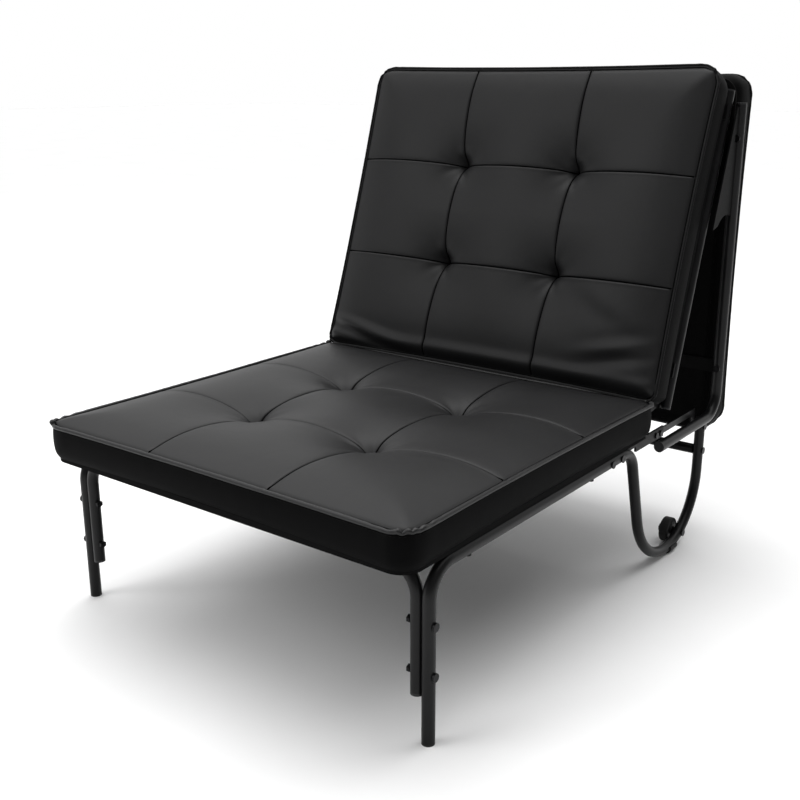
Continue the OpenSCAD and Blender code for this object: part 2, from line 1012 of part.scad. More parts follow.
module rear_nuts() {
  color("#b9babd")
    for (x = [-leg_tube_x, leg_tube_x])
      for (z = [rear_bolt_low, rear_bolt_high])
        difference() {
          translate([x, rear_under_y - centre_y, z])
            rotate([-90, 0, 0])
              cylinder(h = nut_high, r = nut_r, $fn = 6);
          y_rod(x, z, rear_under_y - 1, rear_under_y + 8, bolt_r);
        }
}

module rear_screws() {
  color("#b9babd")
    for (x = [-screw_x, screw_x])
      for (z = [rear_bolt_low, rear_bolt_high]) {
        y_rod(x, z, fold_y + tube_r - 2, rear_under_y + 8, screw_r);
        y_rod(x, z, fold_y + tube_r - 2, fold_y + tube_r, 5);
      }
}

// --- draw ---

side_tube_right();

side_tube_left();

front_staple();

rear_cross_tube();

hinge_bracket_right();

hinge_bracket_left();

tie_bar_right();

tie_bar_left();

seat_board();

seat_cushion();

front_foot_plugs();

short_leg_plugs();

arm_plugs();

glide_pads();

leg_bolts();

leg_nuts();

cross_tube_bolts();

bracket_bolts();

tie_bolts();

tie_spacers();

axle_bolts();

axle_nuts();

seat_screws();

seat_hinge_pins();

wheel_hub_right();

wheel_hub_left();

tyre_right();

tyre_left();

back_tube_right();

back_tube_left();

back_straps();

hinge_straps();

back_board();

back_cushion();

back_tube_plugs();

back_bolts();

back_screws();

fold_leaves_back();

back_leaf_screws();

fold_bolts();

fold_nuts();

leg_tube_right();

leg_tube_left();

rear_straps();

fold_leaves_rear();

rear_leaf_screws();

gusset_right();

gusset_left();

rear_board();

rear_cushion();

leg_plugs();

rear_bolts();

rear_nuts();

rear_screws();
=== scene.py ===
import json
import math

import bpy
import numpy as np
from mathutils import Matrix, Vector


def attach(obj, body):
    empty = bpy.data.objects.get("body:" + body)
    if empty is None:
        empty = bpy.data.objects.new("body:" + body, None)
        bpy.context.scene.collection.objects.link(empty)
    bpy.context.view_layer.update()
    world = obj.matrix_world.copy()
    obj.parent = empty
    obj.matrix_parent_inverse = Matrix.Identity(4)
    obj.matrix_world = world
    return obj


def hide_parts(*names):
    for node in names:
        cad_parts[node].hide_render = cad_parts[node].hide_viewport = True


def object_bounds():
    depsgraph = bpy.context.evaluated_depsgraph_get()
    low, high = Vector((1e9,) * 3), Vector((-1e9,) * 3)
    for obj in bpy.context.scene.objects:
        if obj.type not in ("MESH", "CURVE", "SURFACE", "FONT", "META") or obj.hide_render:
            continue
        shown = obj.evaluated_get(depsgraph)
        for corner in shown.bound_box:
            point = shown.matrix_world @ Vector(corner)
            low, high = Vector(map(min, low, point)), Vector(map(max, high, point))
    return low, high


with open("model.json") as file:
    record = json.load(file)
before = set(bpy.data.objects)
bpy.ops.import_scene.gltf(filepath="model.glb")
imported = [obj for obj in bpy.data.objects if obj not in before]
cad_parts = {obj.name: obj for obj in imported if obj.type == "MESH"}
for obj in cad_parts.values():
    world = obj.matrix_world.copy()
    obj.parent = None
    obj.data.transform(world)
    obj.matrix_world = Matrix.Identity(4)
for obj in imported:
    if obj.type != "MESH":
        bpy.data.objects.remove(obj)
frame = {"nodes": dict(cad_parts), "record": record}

CAD_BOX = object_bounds()
REC = frame["record"]
NODES = frame["nodes"]


# ---------------------------------------------------------------- materials

def tree(name):
    """A new material, its node tree and its one shader."""
    m = bpy.data.materials.new(name)
    m.use_nodes = True
    nt = m.node_tree
    nt.nodes.clear()
    out = nt.nodes.new("ShaderNodeOutputMaterial")
    b = nt.nodes.new("ShaderNodeBsdfPrincipled")
    nt.links.new(b.outputs[0], out.inputs[0])
    return m, nt, b


def coords(nt, scale=(1, 1, 1)):
    """Object coordinates, scaled."""
    t = nt.nodes.new("ShaderNodeTexCoord")
    k = nt.nodes.new("ShaderNodeMapping")
    k.inputs["Scale"].default_value = scale
    nt.links.new(t.outputs["Object"], k.inputs[0])
    return k.outputs[0]


def noise(nt, at, scale, detail=4.0, rough=0.5):
    """Smooth noise, about 0.2 to 0.8."""
    n = nt.nodes.new("ShaderNodeTexNoise")
    n.inputs["Scale"].default_value = scale
    n.inputs["Detail"].default_value = detail
    n.inputs["Roughness"].default_value = rough
    nt.links.new(at, n.inputs["Vector"])
    return n.outputs["Fac"]


def ramp(nt, fac, stops):
    """A colour from a value, through (place, colour) stops."""
    r = nt.nodes.new("ShaderNodeValToRGB")
    e = r.color_ramp.elements
    while len(e) < len(stops):
        e.new(0.5)
    for el, (pos, col) in zip(e, stops):
        el.position = pos
        el.color = (*col, 1.0)
    nt.links.new(fac, r.inputs[0])
    return r.outputs[0]


def span(nt, fac, lo, hi):
    """A value from 0 to 1 spread from lo to hi."""
    r = nt.nodes.new("ShaderNodeMapRange")
    r.inputs["To Min"].default_value = lo
    r.inputs["To Max"].default_value = hi
    nt.links.new(fac, r.inputs["Value"])
    return r.outputs[0]


def bump(nt, height, strength, distance, before=None):
    """A bumped normal, on top of the one before."""
    b = nt.nodes.new("ShaderNodeBump")
    b.inputs["Strength"].default_value = strength
    b.inputs["Distance"].default_value = distance
    nt.links.new(height, b.inputs["Height"])
    if before is not None:
        nt.links.new(before, b.inputs["Normal"])
    return b.outputs[0]


def math_node(nt, op, a, b):
    """One sum of two sockets or numbers."""
    m = nt.nodes.new("ShaderNodeMath")
    m.operation = op
    for i, v in enumerate((a, b)):
        if isinstance(v, (int, float)):
            m.inputs[i].default_value = v
        else:
            nt.links.new(v, m.inputs[i])
    return m.outputs[0]


def grey(v):
    """A neutral colour."""
    return v, v, v


def leather(name, dark, light, rough_lo, rough_hi, spec):
    """Black coated fabric: pebbled grain, softer mottling and slightly uneven gloss."""
    m, nt, b = tree(name)
    at = coords(nt)
    broad = noise(nt, at, 7.0, 3.0)
    fine = noise(nt, at, 260.0, 5.0, 0.6)
    most = math_node(nt, "MULTIPLY", broad, 0.7)
    mixed = math_node(nt, "ADD", most, math_node(nt, "MULTIPLY", fine, 0.3))
    nt.links.new(ramp(nt, mixed, [(0.3, dark), (0.7, light)]), b.inputs["Base Color"])
    nt.links.new(span(nt, mixed, rough_lo, rough_hi), b.inputs["Roughness"])
    v = nt.nodes.new("ShaderNodeTexVoronoi")
    v.feature = "DISTANCE_TO_EDGE"
    v.inputs["Scale"].default_value = 520.0
    nt.links.new(at, v.inputs["Vector"])
    grain = math_node(nt, "MINIMUM", math_node(nt, "MULTIPLY", v.outputs["Distance"], 3.0), 0.6)
    n1 = bump(nt, noise(nt, at, 34.0, 3.0), 0.16, 0.0022)
    n2 = bump(nt, grain, 0.3, 0.00022, n1)
    nt.links.new(n2, b.inputs["Normal"])
    b.inputs["Specular IOR Level"].default_value = spec
    return m


def paint(name, dark, light, rough_lo, rough_hi, spec, coat):
    """Black paint with a little orange peel and uneven gloss."""
    m, nt, b = tree(name)
    at = coords(nt)
    broad = noise(nt, at, 16.0, 4.0)
    speck = noise(nt, at, 420.0, 3.0, 0.7)
    nt.links.new(ramp(nt, broad, [(0.35, dark), (0.75, light)]), b.inputs["Base Color"])
    nt.links.new(span(nt, speck, rough_lo, rough_hi), b.inputs["Roughness"])
    nt.links.new(bump(nt, noise(nt, at, 190.0, 2.0), 0.1, 0.0003), b.inputs["Normal"])
    b.inputs["Specular IOR Level"].default_value = spec
    b.inputs["Coat Weight"].default_value = coat
    b.inputs["Coat Roughness"].default_value = 0.25
    return m


def metal(name, dark, light, rough_lo, rough_hi):
    """Zinc plate: cloudy spangle and fine brushing."""
    m, nt, b = tree(name)
    at = coords(nt)
    cloud = noise(nt, at, 70.0, 5.0, 0.65)
    nt.links.new(ramp(nt, cloud, [(0.3, dark), (0.7, light)]), b.inputs["Base Color"])
    nt.links.new(span(nt, cloud, rough_lo, rough_hi), b.inputs["Roughness"])
    lines = noise(nt, coords(nt, (1.0, 1.0, 9.0)), 400.0, 2.0)
    nt.links.new(bump(nt, lines, 0.12, 0.0002), b.inputs["Normal"])
    b.inputs["Metallic"].default_value = 1.0
    return m


def moulded(name, dark, light, rough_lo, rough_hi, spec=0.3):
    """Moulded rubber or plastic with a spark-eroded grain."""
    m, nt, b = tree(name)
    at = coords(nt)
    grain = noise(nt, at, 900.0, 3.0, 0.7)
    broad = noise(nt, at, 24.0, 3.0)
    nt.links.new(ramp(nt, broad, [(0.3, dark), (0.75, light)]), b.inputs["Base Color"])
    nt.links.new(span(nt, grain, rough_lo, rough_hi), b.inputs["Roughness"])
    nt.links.new(bump(nt, grain, 0.25, 0.0002), b.inputs["Normal"])
    b.inputs["Specular IOR Level"].default_value = spec
    return m


def dust_cloth(name):
    """Black non-woven cloth under the boards: pressed fibres in small points."""
    m, nt, b = tree(name)
    at = coords(nt)
    fibres = noise(nt, at, 320.0, 6.0, 0.75)
    v = nt.nodes.new("ShaderNodeTexVoronoi")
    v.inputs["Scale"].default_value = 480.0
    nt.links.new(at, v.inputs["Vector"])
    tones = [(0.3, grey(0.0018)), (0.75, (0.006, 0.006, 0.0062))]
    nt.links.new(ramp(nt, fibres, tones), b.inputs["Base Color"])
    nt.links.new(span(nt, fibres, 0.82, 0.96), b.inputs["Roughness"])
    both = math_node(nt, "ADD", fibres, v.outputs["Distance"])
    nt.links.new(bump(nt, both, 0.35, 0.0004), b.inputs["Normal"])
    b.inputs["Specular IOR Level"].default_value = 0.06
    return m


LEATHER = leather(
    "faux_leather_black",
    (0.0064, 0.0064, 0.0067),
    (0.0108, 0.0108, 0.0112),
    0.42, 0.54, 0.198,
)
# the same leather, darker and duller: painted shade on the cushions' sides and underside
SHADED_SIDE_LEATHER = leather(
    "faux_leather_painted_shade",
    (0.0012, 0.0012, 0.0013),
    (0.0026, 0.0026, 0.0027),
    0.56, 0.70, 0.035,
)
# the piping's leather darker than the top: painted shade on the back and rear panels' welts
SHADED_WELT_LEATHER = leather(
    "faux_leather_piping_painted_shade",
    (0.0035, 0.0035, 0.0037),
    (0.0070, 0.0070, 0.0072),
    0.46, 0.58, 0.10,
)
# the piping's leather lighter than the top, a painted highlight on the seat's welt, and glossier
LIT_WELT_LEATHER = leather(
    "faux_leather_piping_painted_highlight",
    (0.0075, 0.0075, 0.0078),
    (0.0130, 0.0130, 0.0134),
    0.36, 0.46, 0.28,
)
# near-black and without any reflection: the sewn seams' thread, with the painted shade of their creases
SEAM_CREASE_SHADE = moulded("seam_line_painted_shade", grey(0.0004), grey(0.0012), 0.85, 0.98, 0.0)
THREAD = moulded("black_thread", grey(0.003), grey(0.008), 0.6, 0.8, 0.08)
TUBE_PAINT = paint(
    "tube_paint_black",
    (0.0040, 0.0040, 0.0043),
    (0.0085, 0.0085, 0.009),
    0.28, 0.40, 0.17, 0.03,
)
PLATE_PAINT = paint(
    "plate_paint",
    (0.0045, 0.0045, 0.0047),
    (0.0095, 0.0095, 0.0098),
    0.4, 0.55, 0.14, 0.0,
)
FLAT_PAINT = paint(
    "flat_bar_paint",
    (0.0022, 0.0022, 0.0023),
    (0.0048, 0.0048, 0.005),
    0.5, 0.65, 0.08, 0.0,
)
SLOT_MATERIALS = {
    "faux_leather": LEATHER,
    "lined_board": dust_cloth("dust_cloth_black"),
    "black_tube": TUBE_PAINT,
    "dark_plate": PLATE_PAINT,
    "fastener": metal("bolt_steel", (0.010, 0.010, 0.0105), (0.026, 0.026, 0.027), 0.32, 0.5),
    "tyre": moulded("tyre_rubber", grey(0.008), grey(0.018), 0.6, 0.8),
    "wheel_plastic": moulded("wheel_plastic", (0.011, 0.011, 0.012), (0.02, 0.02, 0.021), 0.36, 0.5),
    "rubber": moulded("foot_rubber", grey(0.008), grey(0.016), 0.55, 0.75),
    "plug_plastic": moulded("plug_plastic", (0.009, 0.009, 0.01), (0.018, 0.018, 0.019), 0.4, 0.55),
}
for subpart in REC["subparts"]:
    o = NODES[subpart["node"]]
    o.data.materials.clear()
    o.data.materials.append(SLOT_MATERIALS[subpart["material_slot"]])
# flat steel bars take a duller paint than the slot they share
FLAT_BARS = (
    "gusset_right",
    "gusset_left",
    "rear_straps",
    "back_straps",
    "fold_leaves_back",
    "fold_leaves_rear",
)
for name in FLAT_BARS:
    NODES[name].data.materials[0] = FLAT_PAINT


# ---------------------------------------------------------------- cushions

# all lengths are in metres
LEAN = math.radians(90 - REC["behaviour"]["joints"][0]["range_deg"][1])
# height of a cushion's side from its underside to the welt
SIDE = 0.060
# corner radii in plan: at a free edge, and at the edge where seat and back meet
OUTER, MEETING = 0.038, 0.014
# how far the sides pull in between the corners, and how far the cover turns in underneath
BOW, TUCK = 0.0045, 0.0088
# width of the rolled edge of the top sheet, and reach of a tuft's hollow
ROLL, TUFT_REACH = 0.075, 0.040
# the simulation: grid, frames, radius held down at a tuft, and the furthest a point may travel
SIM_STEP, SIM_FRAMES, TUFT_HOLD, TRAVEL = 0.0125, 20, 0.0095, 0.02
# how much of its travel the side keeps
SIDE_PUFF = 0.45
# heights of the side's rings, as shares down from the welt: in the simulation and in the cushion
SIM_RINGS = (0.2, 0.4, 0.6, 0.8)
RINGS = (0.03, 0.09, 0.17, 0.28, 0.4, 0.52, 0.64, 0.76, 0.86, 0.93, 0.98)
# widest spacing of the cushion's own grid
GRID = 0.0085
QUICK_RISE = 0.008
# a sewn crease: depth and width of its sharp cut, then of the soft valley round it
CUT, CUT_WIDE, VALLEY, VALLEY_WIDE = 0.0032, 0.0010, 0.0016, 0.005
# height of the lip below a cross seam, and of the pleats round a tuft, and how many pleats
LIP, PLEAT, PLEATS = 0.0013, 0.0010, 8
# length over which a swollen edge dies away
SWELL_REACH = 0.03
# curvature that counts as a full corner, in 1/m, and passes of smoothing over it
CORNER_BEND, CORNER_PASSES = 18.0, 7
# gathers in the boxing at the corners: spacing and height
GATHER_PITCH, GATHER_HIGH = 0.0062, 0.0009
# the underside: height of its middle, depth of its edge, and how far in that edge reaches
UNDER_HIGH, UNDER_LOW, UNDER_EDGE = 0.003, 0.0006, 0.024
# radius of a sewn line, its height over the crease, its place inside the welt, and its gap at each end
SEAM_RADIUS, SEAM_LIFT, SEAM_INSET, SEAM_END = 0.0010, 0.0016, 0.0044, 0.005
# height of the welt's middle over the side
WELT_RISE = 0.0008
# stitches below the welt: spacing, length, thickness, drop, and how far out they stand
SEW_PITCH, SEW_LENGTH, SEW_THICK, SEW_DROP, SEW_OUT = 0.0062, 0.0042, 0.0009, 0.0052, 0.0006
# staples underneath: spacing, length, thickness, inset and height
STAPLE_PITCH, STAPLE_LENGTH, STAPLE_THICK = 0.038, 0.010, 0.0011
STAPLE_INSET, STAPLE_HIGH = 0.0165, -0.0008
# the sections of one stitch: place along it, share of its thickness, and lift; and points round it
STITCH = ((-0.5, 0.35, -0.4), (-0.3, 1.0, 0.1), (0.0, 1.0, 0.4), (0.3, 1.0, 0.1), (0.5, 0.35, -0.4))
STITCH_SIDES = 5


def local_frame(node, turn):
    """A cushion's own frame and sizes from its CAD node: X across, Y along, Z up from its underside."""
    v = np.array([p.co for p in NODES[node].data.vertices])
    r = np.array(turn.to_3x3())
    w = v @ r
    lo, hi = w.min(0), w.max(0)
    origin = r @ np.array([(lo[0] + hi[0]) / 2, lo[1], lo[2]])
    m = turn.copy()
    m.translation = Vector(origin)
    return m, hi - lo


def catmull(f, x0, step, x):
    """Smooth values along axis 0 of f, sampled every step from x0, at the places x."""
    n = f.shape[0]
    t = np.clip((x - x0) / step, 0, n - 1.000001)
    i = t.astype(int)
    t = (t - i).reshape((-1,) + (1,) * (f.ndim - 1))
    p0, p1 = f[np.maximum(i - 1, 0)], f[i]
    p2, p3 = f[np.minimum(i + 1, n - 1)], f[np.minimum(i + 2, n - 1)]
    square = 2 * p0 - 5 * p1 + 4 * p2 - p3
    cube = 3 * p1 - p0 - 3 * p2 + p3
    return 0.5 * (2 * p1 + (p2 - p0) * t + square * t * t + cube * t ** 3)


def round_plan(x, y, w, d, near, far):
    """Moves points of a w by d rectangle, centred on x and from y 0, into one with round corners."""
    r = np.where(y < d / 2, near, far)
    hx, hy = w / 2, d / 2
    a, b = np.abs(x) - (hx - r), np.abs(y - hy) - (hy - r)
    corner = (a > 0) & (b > 0)
    u, v = np.clip(a / r, 0, 1), np.clip(b / r, 0, 1)
    nx = np.where(corner, (hx - r) + r * u * np.sqrt(1 - v * v / 2), np.abs(x))
    ny = np.where(corner, (hy - r) + r * v * np.sqrt(1 - u * u / 2), np.abs(y - hy))
    return np.sign(x) * nx, hy + np.sign(y - hy) * ny


def cushion_points(xs, ys, w, d, crown, radii, tufts, deep):
    """A closed cushion's points on a plan grid: the crowned, tufted top sheet and the bottom sheet."""
    gx, gy = np.meshgrid(xs, ys, indexing="ij")
    px, py = round_plan(gx, gy, w, d, *radii)
    # sides pull in a little between the corners
    ux, uy = np.clip(np.abs(px) / (w / 2), 0, 1), np.clip(np.abs(py - d / 2) / (d / 2), 0, 1)
    px = px - np.sign(px) * BOW * ux ** 6 * (1 - uy ** 2)
    py = py - np.sign(py - d / 2) * BOW * uy ** 6 * (1 - ux ** 2)
    edge = np.minimum(w / 2 - np.abs(gx), np.minimum(gy, d - gy))
    rise = 1 - np.clip(1 - edge / ROLL, 0, 1) ** 2.4
    top = np.stack([px, py, SIDE + crown * rise], -1)
    pull = np.zeros_like(gx)
    for tx, ty in tufts:
        far = np.hypot(gx - tx, gy - ty)
        pull = np.maximum(pull, np.exp(-(far / TUFT_REACH) ** 1.15))
    top[..., 2] -= deep * pull
    bx = px * (1 - 2 * TUCK / w)
    by = d / 2 + (py - d / 2) * (1 - 2 * TUCK / d)
    bottom = np.stack([bx, by, np.zeros_like(px)], -1)
    return gx, gy, edge, top, bottom


def outline(nx, ny):
    """Grid indices round the edge of an nx by ny grid, once."""
    idx = [(i, 0) for i in range(nx - 1)]
    idx += [(nx - 1, j) for j in range(ny - 1)]
    idx += [(i, ny - 1) for i in range(nx - 1, 0, -1)]
    idx += [(0, j) for j in range(ny - 1, 0, -1)]
    return np.array(idx)


def side_profile(k):
    """A side ring's inset from the outline, and its height as a share, at k from 0 (welt) to 1."""
    belly = 0.0022 * math.sin(math.pi * min(1, k * 1.15))
    tuck = 0.010 * max(0.0, (k - 0.72) / 0.28) ** 2
    return tuck - belly, 1 - k


def closed_mesh(top, bottom, rings):
    """Vertices and faces of the whole cushion. rings are arrays of points round the outline."""
    nx, ny = top.shape[:2]
    idx = outline(nx, ny)
    verts = [top.reshape(-1, 3)]
    count = nx * ny
    ring_start = []
    for ring in rings:
        ring_start.append(count)
        verts.append(ring)
        count += len(ring)
    first_low = count
    verts.append(bottom.reshape(-1, 3))
    faces = []

    def top_id(i, j):
        return i * ny + j

    def low_id(i, j):
        return first_low + i * ny + j

    for i in range(nx - 1):
        for j in range(ny - 1):
            faces.append((top_id(i, j), top_id(i + 1, j), top_id(i + 1, j + 1), top_id(i, j + 1)))
            faces.append((low_id(i, j), low_id(i, j + 1), low_id(i + 1, j + 1), low_id(i + 1, j)))
    n = len(idx)
    loops = [[top_id(*idx[k]) for k in range(n)]]
    loops += [[s + k for k in range(n)] for s in ring_start]
    loops += [[low_id(*idx[k]) for k in range(n)]]
    for a, b in zip(loops, loops[1:]):
        for k in range(n):
            m = (k + 1) % n
            faces.append((a[k], b[k], b[m], a[m]))
    return np.concatenate(verts), faces


def outward(ring):
    """Unit directions out of a closed ring of points, in plan."""
    t = np.roll(ring, -1, 0) - np.roll(ring, 1, 0)
    n = np.stack([t[:, 1], -t[:, 0], np.zeros(len(t))], -1)
    return n / np.maximum(np.linalg.norm(n, axis=1), 1e-9)[:, None]


def side_rings(top, ks):
    """Rings of points down the side, one for each share in ks."""
    idx = outline(*top.shape[:2])
    edge = top[idx[:, 0], idx[:, 1]]
    out = outward(edge)
    rings = []
    for k in ks:
        inset, high = side_profile(k)
        p = edge - out * inset
        p[:, 2] = SIDE * high
        rings.append(p)
    return rings


def new_mesh(name, verts, faces, material):
    """A smooth-shaded mesh object with one material."""
    me = bpy.data.meshes.new(name)
    me.from_pydata([tuple(map(float, v)) for v in verts], [], faces)
    me.validate()
    o = bpy.data.objects.new(name, me)
    bpy.context.collection.objects.link(o)
    me.materials.append(material)
    me.polygons.foreach_set("use_smooth", [True] * len(me.polygons))
    return o


def inflate(name, w, d, crown, radii, tufts, deep):
    """A cloth simulation of the cover, held at the welt, the underside and the tufts and blown up from
    inside. Returns the coarse grid's lines, and how far the top sheet and the side rings moved."""
    nx, ny = int(round(w / SIM_STEP)) + 1, int(round(d / SIM_STEP)) + 1
    xs, ys = np.linspace(-w / 2, w / 2, nx), np.linspace(0, d, ny)
    gx, gy, _, top, bottom = cushion_points(xs, ys, w, d, crown, radii, tufts, deep)
    rings = side_rings(top, SIM_RINGS)
    verts, faces = closed_mesh(top, bottom, rings)
    o = new_mesh(name, verts, faces, LEATHER)
    group = o.vertex_groups.new(name="pin")
    n_top = nx * ny
    n_side = len(rings) * len(rings[0])
    held = np.zeros(len(verts))
    held[n_top + n_side:] = 1.0
    idx = outline(nx, ny)
    held[idx[:, 0] * ny + idx[:, 1]] = 1.0
    near = np.full(gx.shape, np.inf)
    for tx, ty in tufts:
        near = np.minimum(near, np.hypot(gx - tx, gy - ty))
    held[:n_top] = np.maximum(held[:n_top], (near.reshape(-1) < TUFT_HOLD).astype(float))
    for i, h in enumerate(held):
        if h > 0:
            group.add([i], float(h), "REPLACE")
    mod = o.modifiers.new("Cloth", "CLOTH")
    s = mod.settings
    s.quality = 5
    s.mass = 0.35
    s.tension_stiffness = 18
    s.compression_stiffness = 18
    s.shear_stiffness = 8
    s.bending_stiffness = 0.8
    s.use_pressure = True
    s.uniform_pressure_force = 4.0
    s.vertex_group_mass = "pin"
    s.effector_weights.gravity = 0
    mod.collision_settings.use_collision = False
    scene = bpy.context.scene
    scene.frame_start, scene.frame_end = 1, SIM_FRAMES
    mod.point_cache.frame_start, mod.point_cache.frame_end = 1, SIM_FRAMES
    for f in range(1, SIM_FRAMES + 1):
        scene.frame_set(f)
    e = o.evaluated_get(bpy.context.evaluated_depsgraph_get())
    me = e.to_mesh()
    got = np.zeros(len(me.vertices) * 3)
    me.vertices.foreach_get("co", got)
    e.to_mesh_clear()
    got = got.reshape(-1, 3)
    moved = got - verts
    scene.frame_set(1)
    bpy.data.objects.remove(o)
    size = np.linalg.norm(moved, axis=1)[:, None]
    moved = moved * (TRAVEL / (TRAVEL + size))
    sheet = moved[:n_top].reshape(nx, ny, 3)
    walls = moved[n_top:n_top + n_side].reshape(len(rings), -1, 3)
    return xs, ys, sheet, walls


def crowded(lo, hi, seams):
    """Grid lines from lo to hi, closer together beside each seam and each end."""
    fine = [0.0008, 0.0018, 0.0034, 0.006, 0.010, 0.016]
    lines = [s + f for s in seams for f in [0.0] + fine + [-f for f in fine]]
    rim = [0.0, 0.0016, 0.0032, 0.0048, 0.0068, 0.010, 0.0145]
    ends = [lo + f for f in rim] + [hi - f for f in rim]
    stops = sorted(lines + ends)
    full = list(stops)
    for a, b in zip(stops, stops[1:]):
        n = int((b - a) / GRID)
        full += [a + (b - a) * k / (n + 1) for k in range(1, n + 1)]
    return np.array(sorted(full))


def perimeter(xs, ys):
    """How far round the plan rectangle each outline point is, and the whole way round."""
    nx, ny = len(xs), len(ys)
    idx = outline(nx, ny)
    p = np.stack([xs[idx[:, 0]], ys[idx[:, 1]]], -1)
    step = np.linalg.norm(np.roll(p, -1, 0) - p, axis=1)
    return np.concatenate([[0], np.cumsum(step)[:-1]]), step.sum()


def tube_mesh(name, path, radius, material, sides=10, closed=True, wobble=None):
    """A tube swept along points, round and back to its start or with two shut ends."""
    n = len(path)
    t = np.roll(path, -1, 0) - np.roll(path, 1, 0)
    if not closed:
        t[0], t[-1] = path[1] - path[0], path[-1] - path[-2]
    t /= np.linalg.norm(t, axis=1)[:, None]
    out = np.cross(t, np.array([0, 0, 1.0]))
    out /= np.linalg.norm(out, axis=1)[:, None]
    nrm = np.cross(out, t)
    thick = radius * (1 + (wobble if wobble is not None else np.zeros(n)))
    turn = 2 * math.pi * np.arange(sides) / sides
    along_out = np.cos(turn)[None, :, None] * out[:, None]
    along_up = np.sin(turn)[None, :, None] * nrm[:, None]
    rings = path[:, None] + thick[:, None, None] * (along_out + along_up)
    faces = []
    for k in range(n if closed else n - 1):
        m = (k + 1) % n
        for a in range(sides):
            b = (a + 1) % sides
            faces.append((k * sides + a, m * sides + a, m * sides + b, k * sides + b))
    if not closed:
        faces.append(tuple(range(sides - 1, -1, -1)))
        faces.append(tuple((n - 1) * sides + a for a in range(sides)))
    return new_mesh(name, rings.reshape(-1, 3), faces, material)


def stitches(name, places, tangents, normals, length, thick, material):
    """Short round stitches lying along tangents at places."""
    verts, faces = [], []
    for p, t, n in zip(places, tangents, normals):
        b = np.cross(n, t)
        k = len(verts)
        for along, r, lift in STITCH:
            for a in range(STITCH_SIDES):
                ang = 2 * math.pi * a / STITCH_SIDES
                round_it = math.cos(ang) * b + math.sin(ang) * n
                verts.append(p + t * length * along + n * thick * lift + thick * r * 0.5 * round_it)
        for s in range(len(STITCH) - 1):
            this, after = k + s * STITCH_SIDES, k + (s + 1) * STITCH_SIDES
            for a in range(STITCH_SIDES):
                c = (a + 1) % STITCH_SIDES
                faces.append((this + a, this + c, after + c, after + a))
        last = k + (len(STITCH) - 1) * STITCH_SIDES
        faces.append(tuple(k + a for a in range(STITCH_SIDES - 1, -1, -1)))
        faces.append(tuple(last + a for a in range(STITCH_SIDES)))
    return new_mesh(name, verts, faces, material)


def smoothed(mesh):
    """One level of subdivision."""
    sub = mesh.modifiers.new("Smooth", "SUBSURF")
    sub.levels = sub.render_levels = 1


def groove(far, inside):
    """Depth of a sewn crease: a sharp cut in a softer valley."""
    return (CUT * np.exp(-far / CUT_WIDE) + VALLEY * np.exp(-far / VALLEY_WIDE)) * inside


def sew_top(top, gx, gy, edge, w, d, seams_x, seams_y, tufts, cone, swell, folds):
    """Works the swollen edges, the creases, the tufts and the loose folds into the top sheet."""
    inside = np.clip(edge / 0.02, 0, 1)
    # the near and far edges may swell towards the cushion they meet
    middle = np.clip((w / 2 - np.abs(gx)) / 0.02, 0, 1)
    near_out, far_out = swell
    pushed = far_out * np.exp(-(d - gy) / SWELL_REACH) - near_out * np.exp(-gy / SWELL_REACH)
    top[..., 1] += pushed * middle
    # the top sheet dips to the sewn edge beside the welt
    top[..., 2] -= 0.0022 * np.exp(-((edge - 0.0048) / 0.0022) ** 2)
    for s in seams_x:
        top[..., 2] -= groove(np.abs(gx - s), inside)
    for s in seams_y:
        top[..., 2] -= groove(np.abs(gy - s), inside)
        # the lower side of a cross seam stands up as a small lip
        top[..., 2] += LIP * np.exp(-((gy - s + 0.0034) / 0.0022) ** 2) * inside
    for n, (tx, ty) in enumerate(tufts):
        far = np.hypot(gx - tx, gy - ty)
        ang = np.arctan2(gy - ty, gx - tx)
        # small pleats round the tuft, the tuft's own pit, and a pocket on its far side
        top[..., 2] += PLEAT * np.sin(ang * PLEATS + 0.7 * n) * np.exp(-((far - 0.026) / 0.02) ** 2)
        pocket = 1.3 * np.exp(-((gx - tx) / 0.012) ** 2 - ((gy - ty - 0.008) / 0.010) ** 2)
        top[..., 2] -= cone * (np.exp(-far / 0.011) + pocket)
    top[..., 2] += folds(gx, gy, w, d) * np.clip(edge / 0.016, 0, 1)


def corner_share(edge_ring, out):
    """How much each outline point belongs to a corner, from 0 on the straights to 1."""
    bend = np.linalg.norm(np.roll(out, -1, 0) - np.roll(out, 1, 0), axis=1)
    span_len = np.linalg.norm(np.roll(edge_ring, -1, 0) - np.roll(edge_ring, 1, 0), axis=1)
    corner = np.clip(bend / np.maximum(span_len, 1e-6) / CORNER_BEND, 0, 1)
    for _ in range(CORNER_PASSES):
        corner = (np.roll(corner, 1) + corner + np.roll(corner, -1)) / 3
    return np.sqrt(corner)


def side_travel(walls, k, s_coarse, s_fine, total):
    """The simulated travel of the side at share k, carried over to the fine outline."""
    still = [np.zeros_like(walls[0])]
    stack = still + list(walls) + still
    steps = len(walls) + 1
    j = min(int(k * steps), len(walls))
    t = k * steps - j
    mix = stack[j] * (1 - t) + stack[j + 1] * t
    moved = np.zeros((len(s_fine), 3))
    for c in range(3):
        around = np.append(mix[:, c], mix[0, c])
        moved[:, c] = np.interp(s_fine, np.append(s_coarse, total), around)
    return moved


def cover_mesh(name, top, bottom, rings, nx, ny):
    """The closed cover: plain leather on top, painted shade in darker leather on its sides and
    underside.
    """
    verts, faces = closed_mesh(top, bottom, rings)
    o = new_mesh(name, verts, faces, LEATHER)
    # the sides and underside take the darker leather as painted shade
    o.data.materials.append(SHADED_SIDE_LEATHER)
    # the first faces alternate between top and underside, and the strip after them runs below the welt
    sheet = 2 * (nx - 1) * (ny - 1)
    which = np.ones(len(o.data.polygons), dtype=int)
    which[:sheet:2] = 0
    which[sheet:sheet + len(outline(nx, ny))] = 0
    o.data.polygons.foreach_set("material_index", which.tolist())
    smoothed(o)
    return o


